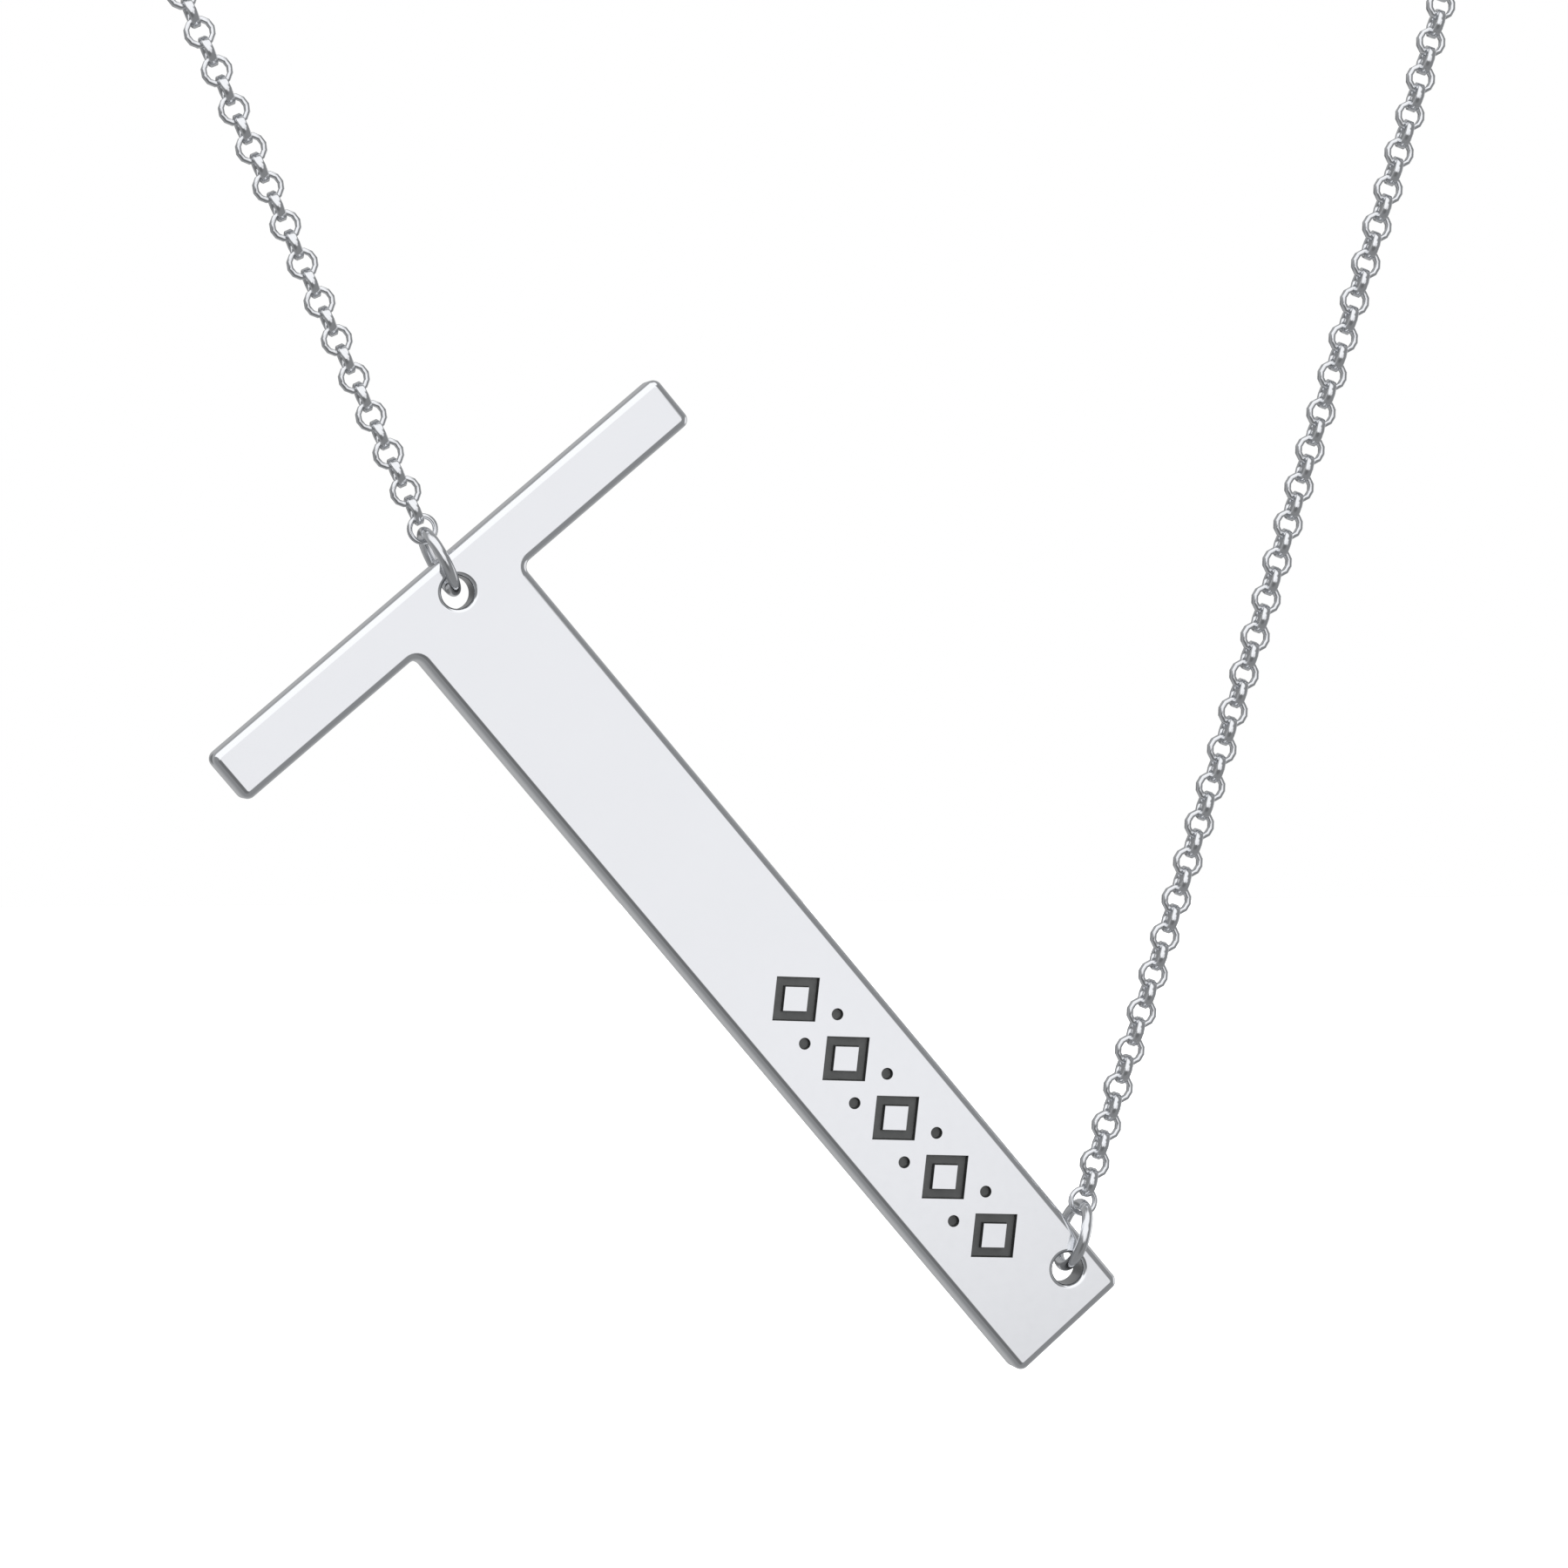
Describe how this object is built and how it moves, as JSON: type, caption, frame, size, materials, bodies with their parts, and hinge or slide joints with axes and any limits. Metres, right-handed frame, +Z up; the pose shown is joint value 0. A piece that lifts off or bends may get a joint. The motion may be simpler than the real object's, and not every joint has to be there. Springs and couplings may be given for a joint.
{
  "type": "initial pendant necklace",
  "caption": "Flat T-shaped silver plate hung on its side by jump rings from a fine round-link chain that closes with a spring ring at the nape.",
  "frame": {"origin": "middle of the neck that the chain goes round, level with the clasp at the nape", "axes": "+Z up, -Y the front that the plate faces, +X to the right as seen from the front"},
  "size_m": [0.1056, 0.0957, 0.1276],
  "materials": {
    "plate_silver": "mirror polished silver",
    "wire_silver": "polished silver wire"
  },
  "bodies": {
    "necklace": {"end_link_left": "wire_silver", "end_link_right": "wire_silver", "chain_left": "wire_silver", "chain_right": "wire_silver", "back_link_left": "wire_silver", "back_link_right": "wire_silver", "clasp": "wire_silver", "clasp_ring": "wire_silver"},
    "pendant": {"initial_plate": "plate_silver", "jump_ring_left": "wire_silver", "jump_ring_right": "wire_silver"}
  },
  "joints": [
    {"name": "pendant_rock", "type": "hinge", "parent": "necklace", "child": "pendant", "pos_m": [-0.01578, -0.0465, -0.08266], "axis": [0.7078, 0, -0.7064], "range_deg": [-30, 30]}
  ]
}
